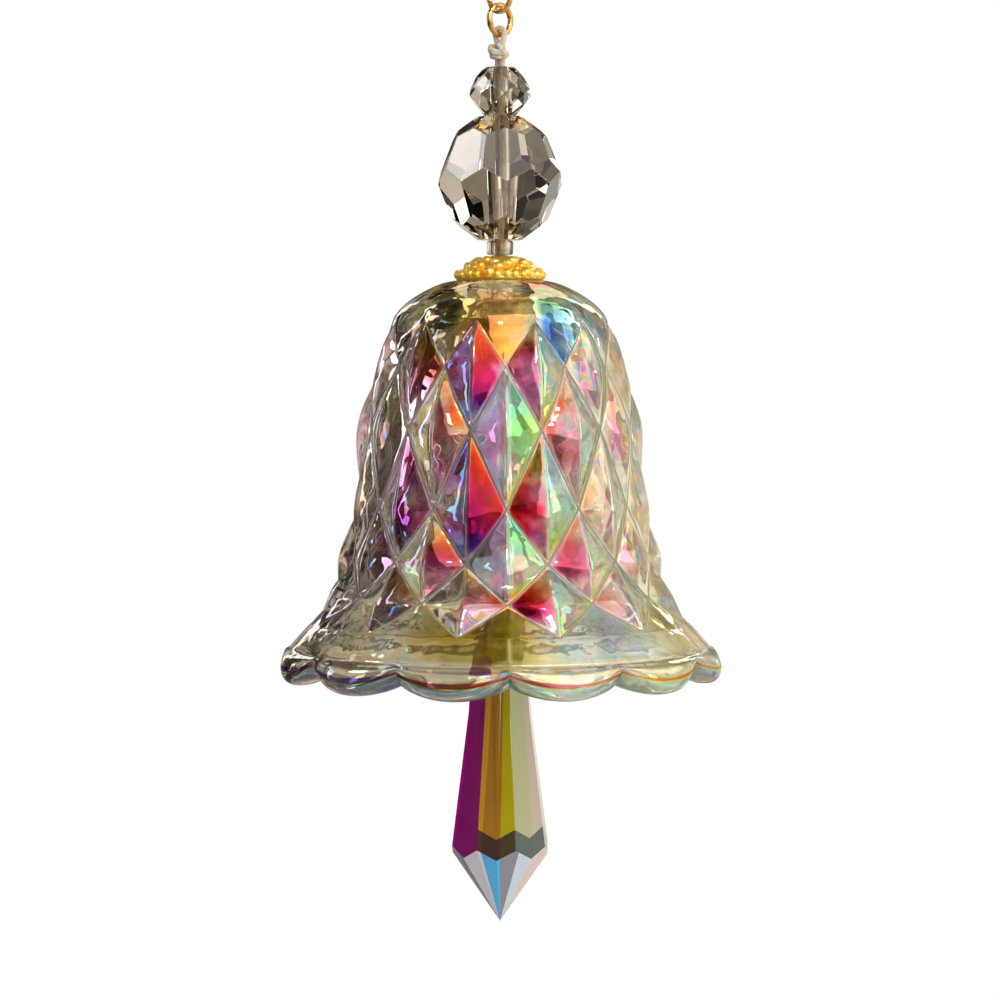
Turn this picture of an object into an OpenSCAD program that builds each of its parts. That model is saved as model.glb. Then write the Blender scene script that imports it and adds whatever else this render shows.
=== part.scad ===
// Glass bell on a beaded cord, with a crystal icicle as its clapper.
// Millimetres, +Z up. The origin is the point inside the hanging ring that a hook bears on.
// Longitudes are counted from the front (-Y) and are positive towards +X.

/* [Hanging ring and chain] */
// Outside diameter of the ring that the whole piece hangs from
hang_ring_d = 16; // [14:1:20]
// Wire diameter of the hanging ring
hang_wire_d = 1.5; // [1.2:0.1:1.8]
// Outside diameter of a chain ring
link_d = 5.6; // [5.4:0.1:6.4]
// Wire diameter of a chain ring
link_wire_d = 0.9; // [0.7:0.1:1]

/* [Cord] */
// Diameter of one strand of the elastic cord
cord_d = 0.95; // [0.7:0.05:1]
// Cord from the wire of the lowest chain ring down to the first bead
cord_drop = 5.2; // [4.8:0.1:8]
// Turns of cord in the knot
knot_turns = 3; // [2:1:4]
// Radius of the holes that the doubled cord runs through
cord_hole_r = 1.15; // [1.1:0.05:1.3]

/* [Beads] */
// Width of the small crystal bead across its widest points
small_bead_d = 9.8; // [8:0.2:12]
// Height of the small crystal bead
small_bead_h = 7.7; // [6:0.1:9]
// Width of the large crystal bead across its widest points
large_bead_d = 20; // [16:0.5:22]
// Height of the large crystal bead
large_bead_h = 19.5; // [15:0.5:21]
// Facets in one row round a crystal bead
bead_facets = 8; // [6:1:10]
// Outside diameter of the clear spacer bead
spacer_d = 4.3; // [3.6:0.1:6]
// Height of the clear spacer bead
spacer_h = 2.3; // [1.5:0.1:4]

/* [Bead caps] */
// Radius of the granulated cap at its lower edge
cap_r = 7.6; // [6.6:0.1:8]
// Height of the granulated cap
cap_h = 3.9; // [3:0.1:5]
// Diameter of one granule on the cap
granule_d = 1.35; // [1:0.05:1.5]
// Radius of the plain cap inside the bell
inner_cap_r = 5.2; // [4:0.1:6]
// Height of the plain cap inside the bell
inner_cap_h = 3.2; // [2.5:0.1:3.6]

/* [Bell] */
// Height of the bell, from its crown to the lowest point of its rim
bell_h = 63.5; // [58:0.5:70]
// Radius of the bell at the widest point of a lobe of its rim
rim_r = 35.7; // [34:0.1:38]
// Height of a pillow over the grooves round it
pillow_h = 2.2; // [1:0.1:2.6]
// How far the notches of the rim stop short of its lobes
scallop_drop = 2.1; // [0.5:0.1:3]
// How far the notches of the rim are drawn in from its lobes
scallop_inset = 2; // [0.5:0.1:2.4]
// Turn of the bell about its own axis, in degrees
bell_turn = 2.6; // [-15:0.1:15]

/* [Clapper] */
// Length of the icicle drop
drop_len = 63; // [55:1:66]
// Radius of the icicle drop to its widest corners
drop_r = 8.1; // [6:0.1:9]
// Height of the pointed tip of the drop
drop_tip_h = 12.7; // [10:0.1:16]
// Outside diameter of the ring through the drop
drop_ring_d = 8; // [7.8:0.1:8.6]
// Wire diameter of the ring through the drop
drop_wire_d = 0.8; // [0.6:0.1:0.8]
// Turn of the drop about its own axis, in degrees
drop_turn = -4.5; // [-22.5:0.5:22.5]

/* [Hidden] */

// Clearances: between wires that hang in each other, and between threaded pieces
wire_gap = 0.1;
stack_gap = 0.1;
// Clearance between the strands of a doubled cord and what is drawn tight round them
hug_gap = 0.04;

// Hanging ring and chain
hang_mean_r = (hang_ring_d - hang_wire_d) / 2;
link_mean_r = (link_d - link_wire_d) / 2;
z_hang = -(hang_ring_d / 2 - hang_wire_d);
z_hang_wire = z_hang - hang_mean_r;
z_upper_link = z_hang_wire + hang_wire_d / 2 + link_wire_d / 2 + wire_gap - link_mean_r;
link_pitch = 2 * link_mean_r - link_wire_d - wire_gap;
z_middle_link = z_upper_link - link_pitch;
z_lower_link = z_middle_link - link_pitch;
link_turn = 45;

// Cord at the top
z_link_wire = z_lower_link - link_mean_r;
loop_r = link_wire_d / 2 + cord_d / 2 + wire_gap;
strand_gap = 0.01;
strand_off = (cord_d + strand_gap) / 2;
knot_pitch = 0.9 * cord_d;
knot_mean_r = 2 * strand_off + hug_gap + cord_d / 2;
knot_drop = 1.5;
z_knot_top = z_link_wire - knot_drop;

// Threaded pieces
z_small_top = z_link_wire - cord_drop;
z_large_top = z_small_top - small_bead_h - stack_gap;
z_spacer_top = z_large_top - large_bead_h - stack_gap;
z_cap_top = z_spacer_top - spacer_h - stack_gap;
z_cap_foot = z_cap_top - cap_h;
cap_gap = 0.15;
z_bell = z_cap_foot - cap_gap;
cap_skin = 0.5;
granule_sink = 0.1;
// How far the outermost granules stand out past the skin
cap_edge = 0.3;
// Rings of granules: [share of the skin's radius, how many]
granule_rings = [[0.92, 20], [0.72, 15], [0.51, 10]];

// Crystal cuts: [latitude of the facet, distance from the centre, offset in facet steps].
// Latitudes are in degrees; distances are for a bead of radius 1 and scale with it.
large_cuts = [[20.5, 0.895, 0], [52, 0.978, 0.5]];
small_cuts = [[20.5, 0.902, 0], [38, 0.862, 0.5], [57, 0.903, 0]];
large_bead_turn = 7;
small_bead_turn = 7;

// Bell. Each unit of the lattice is half a cell: columns count round, rows count down.
cells = 12;
col_steps = 72;
steps_per_row = 3;
crown_flat_r = 7.6;
// Heights of the rows of crossings below the crown, for a bell 63.5 high
row_z = [-6.2, -13.5, -23.3, -35.4, -43.7, -49.7, -54.4];
// Outline of the bell at the bottom of its grooves: [radius, height]
groove_outline = [[crown_flat_r, 0], [9.6, -0.5], [12, -1.6], [14.3, -3], [15.9, -4.4], [17.1, -6.2],
                  [18, -9.5], [18.5, -13.5], [20, -18], [21, -23.3], [21.6, -29], [22.3, -35.4],
                  [24, -43.7], [26.1, -49.7], [30, -54.4], [32.1, -57]];
// Rolled lip: [radius short of the widest, height over the foot, share of the scallop]
lip_outline = [[2.3, 5.6, 0], [1.9, 5.1, 0.05], [0.7, 4.1, 0.3], [0, 2.4, 0.8], [0.25, 1, 1], [1.1, 0.2, 1],
               [2.6, 0, 1]];
// Wall of the hollow inside: [radius, height below the crown]
hollow_outline = [[8, -4.7], [11, -6.2], [13.6, -9], [15.2, -13.5], [17.2, -19.5], [18.4, -26],
                  [19.5, -35.4], [21, -43.7], [22.5, -49.7], [25.6, -54.4], [29.4, -58.5],
                  [31.2, -61.8]];
z_scale = bell_h / 63.5;

// Inside the bell
z_inner_cap = z_bell + hollow_outline[0][1] * z_scale - cap_gap;
z_stop_top = z_inner_cap - inner_cap_h - stack_gap;
stop_h = 3.8;
cord_in_stop = 1.8;
z_stop_mid = z_stop_top - cord_in_stop;
end_gap = 0.3;
z_swing = z_stop_mid - end_gap;

// Clapper
z_drop_tip = z_bell - 103 * z_scale;
z_drop_top = z_drop_tip + drop_len;
drop_top_r = 3.2;
drop_waist_r = 5.3;
drop_waist_h = 34;
drop_hole_r = 0.9;
drop_hole_depth = 2.6;
z_drop_hole = z_drop_top - drop_hole_depth;
// Half the thickness of the drop where it is ground flat for its hole, and where the flats end
drop_half_t = 2.2;
drop_flat_h = 4.2;
ring_mean_r = (drop_ring_d - drop_wire_d) / 2;
ring_rise = ring_mean_r - sqrt(pow(ring_mean_r, 2) - pow(drop_half_t, 2));
ring_in_hole_gap = 0.05;
z_ring_low = z_drop_hole + drop_hole_r - drop_wire_d / 2 - ring_rise - ring_in_hole_gap;
z_drop_ring = z_ring_low + ring_mean_r;
z_ring_wire = z_drop_ring + ring_mean_r;
clapper_loop_r = drop_wire_d / 2 + cord_d / 2 + wire_gap;
crimp_rise = 3.2;
z_crimp = z_ring_wire + crimp_rise;
crimp_h = 2;
crimp_wall = 0.45;

// A ring of round wire in the XZ plane, turned about Z
module wire_ring(d, wire_d, turn) {
    rotate([90, 0, turn])
        rotate_extrude($fn = 96)
            translate([(d - wire_d) / 2, 0])
                circle(d = wire_d, $fn = 32);
}

// Points of a doubled cord in the XZ plane, as [x, z]: up one strand, round the loop and back.
// way is 1 for a loop over the top of a wire and -1 for a loop under the bottom of one.
function doubled_route(end_z, bend_z, wire_z, mean_r, way) =
    let (arc = [for (t = [180:-20:0]) [mean_r * cos(t), wire_z + way * mean_r * sin(t)]],
         bend = [for (side = [-1, 1]) [side * strand_off, bend_z]])
    concat([[-strand_off, end_z], bend[0]], arc, [bend[1], [strand_off, end_z]]);

// A cord swept along a route of [x, z] points in the XZ plane
module swept_cord(route) {
    sides = 12;
    last = len(route) - 1;
    rings = [for (i = [0:last])
                let (back = route[max(i - 1, 0)],
                     ahead = route[min(i + 1, last)],
                     along = (ahead - back) / norm(ahead - back))
                for (k = [0:sides - 1])
                    let (t = 360 * k / sides, across = cord_d / 2 * cos(t))
                    [route[i][0] - across * along[1], cord_d / 2 * sin(t), route[i][1] + across * along[0]]];
    walls = [for (i = [0:last - 1], k = [0:sides - 1])
                let (n = (k + 1) % sides)
                [i * sides + k, i * sides + n, (i + 1) * sides + n, (i + 1) * sides + k]];
    ends = [[for (k = [sides - 1:-1:0]) k], [for (k = [0:sides - 1]) last * sides + k]];
    polyhedron(points = rings, faces = concat(walls, ends), convexity = 6);
}

// The part of space on the inner side of a plane whose normal has this latitude and longitude
module cut(latitude, longitude, distance, reach) {
    rotate([0, -latitude, longitude - 90])
        translate([-2 * reach, -2 * reach, -2 * reach])
            cube([2 * reach + distance, 4 * reach, 4 * reach]);
}

// A crystal bead: rows of flat cuts above the middle, and the same rows below, half a step on
module crystal_bead(width, height, cuts, turn) {
    r = width / 2;
    step = 360 / bead_facets;
    difference() {
        intersection() {
            cylinder(r = 1.2 * r, h = height, center = true, $fn = 64);
            intersection_for(row = cuts, k = [0:bead_facets - 1]) {
                intersection() {
                    cut(row[0], turn + (k + row[2]) * step, row[1] * r, 2 * r);
                    cut(-row[0], turn + (k + row[2] + 0.5) * step, row[1] * r, 2 * r);
                }
            }
        }
        cylinder(r = cord_hole_r, h = 2 * height, center = true, $fn = 64);
    }
}

// Bell surface ------------------------------------------------------------------------------

// Straight-line reading of an outline of [radius, height] points at height z
function outline_r(points, z) = lookup(-z, [for (p = points) [-p[1], p[0]]]);

// Height of row w, which may fall between two rows of crossings
function height_at(w) = lookup(w, [for (i = [0:len(row_z) - 1]) [i, row_z[i]]]);

// Rise of the pillow at column a and row w: a low pyramid on each cell of the lattice
function pillow(a, w) =
    let (p = (a + w) / 2, q = (a - w) / 2, centre_row = round(p) - round(q))
    centre_row < 1 || centre_row > 5
        ? 0
        : pillow_h * (1 - 2 * max(abs(p - round(p)), abs(q - round(q))));

// 0 in a notch of the rim and 1 on the crest of a lobe
function lobe(a) = pow(abs(sin(90 * a)), 0.75);

// One point of the surface, from its column, radius and height
function bell_point(a, r, z) =
    let (longitude = bell_turn + a * 180 / cells - 90)
    [r * cos(longitude), r * sin(longitude), z * z_scale];

crown_rows = [for (p = groove_outline) if (p[1] > row_z[0]) p];
lattice_rows = [for (i = [0:6 * steps_per_row]) i / steps_per_row];
col_list = [for (i = [0:col_steps - 1]) i * 2 * cells / col_steps];

function crown_ring(p) = [for (a = col_list) bell_point(a, p[0], p[1])];
function lattice_ring(w) =
    [for (a = col_list) bell_point(a, outline_r(groove_outline, height_at(w)) + pillow(a, w), height_at(w))];
function lip_ring(p) =
    [for (a = col_list)
        let (short = 1 - lobe(a))
        bell_point(a, rim_r - p[0] - p[2] * scallop_inset * short, -63.5 + p[1] + p[2] * scallop_drop * short)];

bell_rings = concat([for (p = crown_rows) crown_ring(p)],
                    [for (w = lattice_rows) lattice_ring(w)],
                    [for (p = lip_outline) lip_ring(p)]);
first_lattice_ring = len(crown_rows);
last_lattice_ring = first_lattice_ring + 6 * steps_per_row;

// True where the groove through a small square of the mesh runs down to the right
function groove_falls(i, j) =
    let (row = floor((j - first_lattice_ring) / steps_per_row), col = floor(col_list[i]))
    j < first_lattice_ring || j >= last_lattice_ring || (row + col) % 2 != 0;

module bell_body() {
    rings = len(bell_rings);
    top = rings * col_steps;
    points = concat([for (ring = bell_rings, p = ring) p],
                    [[0, 0, 0], [0, 0, bell_rings[rings - 1][col_steps / 12][2]]]);
    sides = [for (j = [0:rings - 2], i = [0:col_steps - 1])
                let (n = (i + 1) % col_steps,
                     a = j * col_steps + i,
                     b = j * col_steps + n,
                     c = a + col_steps,
                     d = b + col_steps)
                each groove_falls(i, j) ? [[a, b, d], [a, d, c]] : [[a, b, c], [b, d, c]]];
    lid = [for (i = [0:col_steps - 1]) [top, (i + 1) % col_steps, i]];
    base = [for (i = [0:col_steps - 1]) [top + 1, top - col_steps + i, top - col_steps + (i + 1) % col_steps]];
    polyhedron(points = points, faces = concat(sides, lid, base), convexity = 6);
}

// Pieces ------------------------------------------------------------------------------------

module hanging_ring() {
    color("goldenrod")
        translate([0, 0, z_hang])
            wire_ring(hang_ring_d, hang_wire_d, 0);
}

module chain_ring(z, turn) {
    color("goldenrod")
        translate([0, 0, z])
            wire_ring(link_d, link_wire_d, turn);
}

// The doubled cord: over the lowest chain ring, through the knot and down to the stop bead
module cord() {
    color("ghostwhite")
        rotate([0, 0, link_turn + 90])
            swept_cord(doubled_route(z_stop_mid, z_knot_top, z_link_wire, loop_r, 1));
}

// The knot: turns of the same cord drawn tight round its two strands
module cord_knot() {
    z_first_turn = z_knot_top - 0.6 * cord_d;
    color("white")
        for (k = [0:knot_turns - 1])
            translate([0, 0, z_first_turn - k * knot_pitch])
                rotate_extrude($fn = 64)
                    translate([knot_mean_r, 0])
                        circle(d = cord_d, $fn = 32);
}

module small_crystal_bead() {
    color("tan")
        translate([0, 0, z_small_top - small_bead_h / 2])
            crystal_bead(small_bead_d, small_bead_h, small_cuts, small_bead_turn);
}

module large_crystal_bead() {
    color("tan")
        translate([0, 0, z_large_top - large_bead_h / 2])
            crystal_bead(large_bead_d, large_bead_h, large_cuts, large_bead_turn);
}

module spacer_bead() {
    edge = 0.5;
    color("lightgray")
        translate([0, 0, z_spacer_top - spacer_h / 2])
            rotate_extrude($fn = 64)
                difference() {
                    polygon([[0, -spacer_h / 2], [spacer_d / 2 - edge, -spacer_h / 2],
                             [spacer_d / 2, -spacer_h / 2 + edge], [spacer_d / 2, spacer_h / 2 - edge],
                             [spacer_d / 2 - edge, spacer_h / 2], [0, spacer_h / 2]]);
                    translate([0, -spacer_h])
                        square([cord_hole_r, 2 * spacer_h]);
                }
}

// Height of the granulated cap's skin at radius r: a shallow dome from its hole to its edge
cap_skin_r = cap_r - cap_edge;
function cap_skin_z(r) =
    (cap_h - cap_skin) * (1 - pow((r - cord_hole_r) / (cap_skin_r - cord_hole_r), 1.25));

module bead_cap() {
    steps = 8;
    radii = [for (i = [0:steps]) cord_hole_r + (cap_skin_r - cord_hole_r) * i / steps];
    outer = [for (r = radii) [r, cap_skin_z(r) + cap_skin]];
    inner = [for (i = [steps:-1:0]) [radii[i], cap_skin_z(radii[i])]];
    color("gold")
        translate([0, 0, z_cap_foot]) {
            rotate_extrude($fn = 96)
                polygon(concat(outer, inner));
            for (ring = granule_rings) {
                r = ring[0] * cap_skin_r;
                for (k = [0:ring[1] - 1])
                    rotate([0, 0, (k + ring[1] / 4) * 360 / ring[1]])
                        translate([r, 0, cap_skin_z(r) + cap_skin - granule_sink])
                            sphere(d = granule_d, $fn = 24);
            }
        }
}

// The bell: faceted outside, smooth and hollow inside, with a hole for the cord in its crown
module glass_bell() {
    color("thistle")
        translate([0, 0, z_bell])
            difference() {
                bell_body();
                rotate_extrude($fn = 96)
                    polygon(concat([[0, -4.5 * z_scale]],
                                   [for (p = hollow_outline) [p[0], p[1] * z_scale]],
                                   [[31.6, -70 * z_scale], [0, -70 * z_scale]]));
                translate([0, 0, -crown_flat_r])
                    cylinder(r = cord_hole_r + stack_gap, h = 2 * crown_flat_r, $fn = 64);
            }
}

module inner_cap() {
    wall = 0.5;
    color("gold")
        translate([0, 0, z_inner_cap])
            rotate_extrude($fn = 96)
                polygon([[inner_cap_r, 0], [inner_cap_r, -wall], [0.8 * inner_cap_r, -0.55 * inner_cap_h],
                         [2, -inner_cap_h], [cord_hole_r, -inner_cap_h], [cord_hole_r, wall - inner_cap_h],
                         [1.8, wall - inner_cap_h], [0.7 * inner_cap_r, -0.4 * inner_cap_h],
                         [inner_cap_r - wall, 0]]);
}

// The bead that holds the cap up. Its hole flares below, so that the clapper's cord can lean.
module stop_bead() {
    color("gold")
        translate([0, 0, z_stop_top])
            rotate_extrude($fn = 64)
                polygon([[cord_hole_r, 0], [1.7, 0], [2.2, -0.5], [2.4, -stop_h / 2], [2.3, 0.4 - stop_h],
                         [2, -stop_h], [1.65, -stop_h], [cord_hole_r, z_swing - z_stop_top]]);
}

// The doubled cord inside the bell, with its loop under the wire of the clapper's ring
module clapper_cord() {
    color("ghostwhite")
        rotate([0, 0, drop_turn])
            swept_cord(doubled_route(z_swing, z_crimp - crimp_h / 2, z_ring_wire, clapper_loop_r, -1));
}

module loop_crimp() {
    color("goldenrod")
        translate([0, 0, z_crimp])
            rotate_extrude($fn = 64)
                translate([2 * strand_off + hug_gap, -crimp_h / 2])
                    square([crimp_wall, crimp_h]);
}

module clapper_ring() {
    color("goldenrod")
        translate([0, 0, z_drop_ring])
            wire_ring(drop_ring_d, drop_wire_d, 90 + drop_turn);
}

// The icicle: a long eight-sided drop whose pointed tip is cut in eight kites
module icicle_drop() {
    sides = 8;
    half = 180 / sides;
    waist_z = drop_waist_h - drop_len;
    girdle_z = drop_tip_h - drop_len;
    slope = (drop_r - drop_waist_r) / (waist_z - girdle_z);
    kite = drop_r / drop_tip_h;
    // Where two kites meet on the middle of a flat, on the line of both planes
    mid_r = cos(half) * (drop_r + slope * drop_tip_h) / (1 + slope * pow(cos(half), 2) / kite);
    mid_z = mid_r * cos(half) / kite - drop_len;
    corner_rings = [[drop_top_r - 0.5, 0], [drop_top_r, -0.5], [drop_waist_r, waist_z], [drop_r, girdle_z]];
    corners = [for (ring = corner_rings, k = [0:sides - 1])
                  let (t = (2 * k + 1) * half)
                  [ring[0] * cos(t), ring[0] * sin(t), ring[1]]];
    mids = [for (k = [0:sides - 1])
               let (t = 2 * (k + 1) * half)
               [mid_r * cos(t), mid_r * sin(t), mid_z]];
    tip = len(corners) + sides;
    girdle = 3 * sides;
    walls = [for (j = [0:1], k = [0:sides - 1])
                let (n = (k + 1) % sides)
                [j * sides + k, j * sides + n, (j + 1) * sides + n, (j + 1) * sides + k]];
    flats = [for (k = [0:sides - 1])
                let (n = (k + 1) % sides)
                [2 * sides + k, 2 * sides + n, girdle + n, girdle + sides + k, girdle + k]];
    kites = [for (k = [0:sides - 1])
                [girdle + k, girdle + sides + k, tip, girdle + sides + (k + sides - 1) % sides]];
    lid = [[for (k = [sides - 1:-1:0]) k]];
    color("plum")
        translate([0, 0, z_drop_top])
            rotate([0, 0, drop_turn])
                difference() {
                    polyhedron(points = concat(corners, mids, [[0, 0, -drop_len]]),
                               faces = concat(walls, flats, kites, lid));
                    for (side = [0, 1])
                        mirror([0, side, 0])
                            rotate([90, 0, 90])
                                linear_extrude(2 * drop_r, center = true)
                                    polygon([[drop_half_t, 1], [drop_half_t, -drop_flat_h],
                                             [drop_waist_r, -3 * drop_flat_h], [drop_r, 1]]);
                    translate([0, 0, z_drop_hole - z_drop_top])
                        rotate([90, 0, 0])
                            cylinder(r = drop_hole_r, h = 20, center = true, $fn = 48);
                }
}

hanging_ring();
chain_ring(z_upper_link, link_turn);  // chain_ring_upper
chain_ring(z_middle_link, -link_turn);  // chain_ring_middle
chain_ring(z_lower_link, link_turn);  // chain_ring_lower
cord();
cord_knot();
small_crystal_bead();
large_crystal_bead();
spacer_bead();
bead_cap();
glass_bell();
inner_cap();
stop_bead();
clapper_cord();
loop_crimp();
clapper_ring();
icicle_drop();
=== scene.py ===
import random
from math import atan2, copysign, cos, degrees, exp, hypot, pi, radians, sin, sqrt

import bmesh
import bpy
from mathutils import Matrix, Vector, noise


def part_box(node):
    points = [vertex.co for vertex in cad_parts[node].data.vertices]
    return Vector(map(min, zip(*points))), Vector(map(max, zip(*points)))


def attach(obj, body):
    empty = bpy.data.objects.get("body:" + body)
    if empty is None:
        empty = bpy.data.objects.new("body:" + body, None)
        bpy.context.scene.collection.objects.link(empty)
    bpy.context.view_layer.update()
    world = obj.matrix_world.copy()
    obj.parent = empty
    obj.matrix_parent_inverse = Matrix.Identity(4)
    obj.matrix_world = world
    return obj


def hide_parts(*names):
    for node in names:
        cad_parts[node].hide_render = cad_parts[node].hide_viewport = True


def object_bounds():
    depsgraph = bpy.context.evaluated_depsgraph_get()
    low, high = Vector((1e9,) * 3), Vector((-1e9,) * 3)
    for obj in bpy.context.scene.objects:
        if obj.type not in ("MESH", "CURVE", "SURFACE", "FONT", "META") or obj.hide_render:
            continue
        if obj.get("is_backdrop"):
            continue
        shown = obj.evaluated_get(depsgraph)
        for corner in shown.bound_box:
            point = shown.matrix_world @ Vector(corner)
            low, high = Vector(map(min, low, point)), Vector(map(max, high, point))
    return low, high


# The visible model of a glass bell on a beaded cord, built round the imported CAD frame.
# Metres, +Z up. The front is -Y. Longitudes are counted from the front and are positive towards +X.

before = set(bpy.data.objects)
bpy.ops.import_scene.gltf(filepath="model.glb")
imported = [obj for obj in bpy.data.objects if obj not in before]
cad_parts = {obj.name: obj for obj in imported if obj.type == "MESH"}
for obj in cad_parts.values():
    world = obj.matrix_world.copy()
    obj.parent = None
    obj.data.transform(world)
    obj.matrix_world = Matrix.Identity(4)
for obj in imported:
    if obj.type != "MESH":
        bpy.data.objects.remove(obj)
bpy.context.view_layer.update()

MM = 0.001
TAU = 2 * pi
random.seed(7)

# Driving dimensions that the frame's boxes don't give
HANG_WIRE_D = 1.5 * MM
LINK_WIRE_D = 0.9 * MM
DROP_WIRE_D = 0.8 * MM
CORD_D = 0.95 * MM
# Clearance between wires and loops that hang in each other, and between the strands of a cord
WIRE_GAP = 0.1 * MM
STRAND_GAP = 0.02 * MM
# From the wire that a loop goes round to where its two strands come together
KNOT_DROP = 1.5 * MM
CRIMP_RISE = 2.2 * MM
# Radius of the holes that the doubled cord runs through
CORD_HOLE_R = 1.15 * MM
# Turns about Z, in degrees
LINK_TURN = 45
BEAD_TURN = 7
DROP_TURN = -4.5
# Crystal cuts: degrees of latitude, distance from the centre of a bead of radius 1, turn in facets
BEAD_FACETS = 8
LARGE_CUTS = [(20.5, 0.895, 0), (52, 0.978, 0.5)]
SMALL_CUTS = [(20.5, 0.902, 0), (38, 0.862, 0.5), (57, 0.903, 0)]
LARGE_BEAD_R = 10 * MM
SMALL_BEAD_R = 4.9 * MM


# Mesh helpers ---------------------------

def in_scene(name, data):
    """An object in the scene with this data."""
    made = bpy.data.objects.new(name, data)
    bpy.context.scene.collection.objects.link(made)
    return made


def baked(name, bm):
    """A bmesh as an object in the scene."""
    mesh = bpy.data.meshes.new(name)
    bm.to_mesh(mesh)
    bm.free()
    return in_scene(name, mesh)


def finish_piece(name, bm, body, material, replaces, sharp_deg=None):
    """Turns a bmesh into a piece that rides on a body and stands for some CAD nodes."""
    bmesh.ops.recalc_face_normals(bm, faces=bm.faces)
    for face in bm.faces:
        face.smooth = True
    if sharp_deg is not None:
        limit = radians(sharp_deg)
        for edge in bm.edges:
            edge.smooth = not (edge.is_manifold and edge.calc_face_angle(0) > limit)
    piece = baked(name, bm)
    piece.data.materials.append(material)
    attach(piece, body)
    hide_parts(*replaces)


def join_rings(bm, a, b):
    """Quads between two rings of as many vertices."""
    for k in range(len(a)):
        n = (k + 1) % len(a)
        bm.faces.new((a[k], a[n], b[n], b[k]))


def grid(bm, rings, wrap_rings=False):
    """Joins rings of points with quads. With wrap_rings the last ring is joined to the first."""
    rows = [[bm.verts.new(p) for p in ring] for ring in rings]
    count = len(rows)
    for j in range(count if wrap_rings else count - 1):
        join_rings(bm, rows[j], rows[(j + 1) % count])
    return rows


def smooth_line(points, steps):
    """A Catmull-Rom line through the points, with this many steps from one to the next."""
    line = []
    last = len(points) - 1
    for i in range(last):
        p0 = points[max(i - 1, 0)]
        p1, p2 = points[i], points[i + 1]
        p3 = points[min(i + 2, last)]
        for k in range(steps):
            t = k / steps
            line.append(tuple(
                0.5 * (2 * b + (c - a) * t + (2 * a - 5 * b + 4 * c - d) * t * t
                       + (3 * b - a - 3 * c + d) * t ** 3)
                for a, b, c, d in zip(p0, p1, p2, p3)))
    line.append(tuple(points[last]))
    return line


def revolve(bm, profile, segments):
    """Turns a closed profile of (radius, height) points about Z."""
    grid(bm, [[(r * cos(TAU * k / segments), r * sin(TAU * k / segments), z)
               for k in range(segments)] for r, z in profile], wrap_rings=True)


def tube(bm, path, radius, sides):
    """A round tube along a path. radius is a number, or a function of the share of the path."""
    points = [Vector(p) for p in path]
    last = len(points) - 1
    across = None
    rings = []
    for i, p in enumerate(points):
        along = points[min(i + 1, last)] - points[max(i - 1, 0)]
        along.normalize()
        if across is None:
            across = along.orthogonal()
        across = (across - along * across.dot(along)).normalized()
        other = along.cross(across)
        r = radius(i / last) if callable(radius) else radius
        rings.append([p + r * (cos(t) * across + sin(t) * other)
                      for t in (TAU * k / sides for k in range(sides))])
    rows = grid(bm, rings)
    bm.faces.new(rows[0])
    bm.faces.new(rows[-1])


def polish(bm, width):
    """Joins what is flat into facets, and rounds their edges a little."""
    bmesh.ops.dissolve_limit(bm, angle_limit=radians(0.5), verts=bm.verts, edges=bm.edges)
    bmesh.ops.bevel(bm, geom=bm.edges[:], offset=width, segments=2, profile=0.7, affect="EDGES")


def towards(longitude, latitude):
    """The unit vector at a longitude and a latitude, in degrees."""
    turn, lift = radians(longitude), radians(latitude)
    return Vector((cos(lift) * sin(turn), -cos(lift) * cos(turn), sin(lift)))


def turned(points, turn):
    """The points turned about Z by this many degrees."""
    rotation = Matrix.Rotation(radians(turn), 3, "Z")
    return [rotation @ Vector(p) for p in points]


def turned_piece(name, node, body, material, profile, segments, centre):
    """A piece turned about Z from a closed profile of (radius, height) points."""
    bm = bmesh.new()
    revolve(bm, profile, segments)
    bm.transform(Matrix.Translation(centre))
    finish_piece(name, bm, body, material, [node], sharp_deg=50)


# Node helpers ---------------------------

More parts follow.
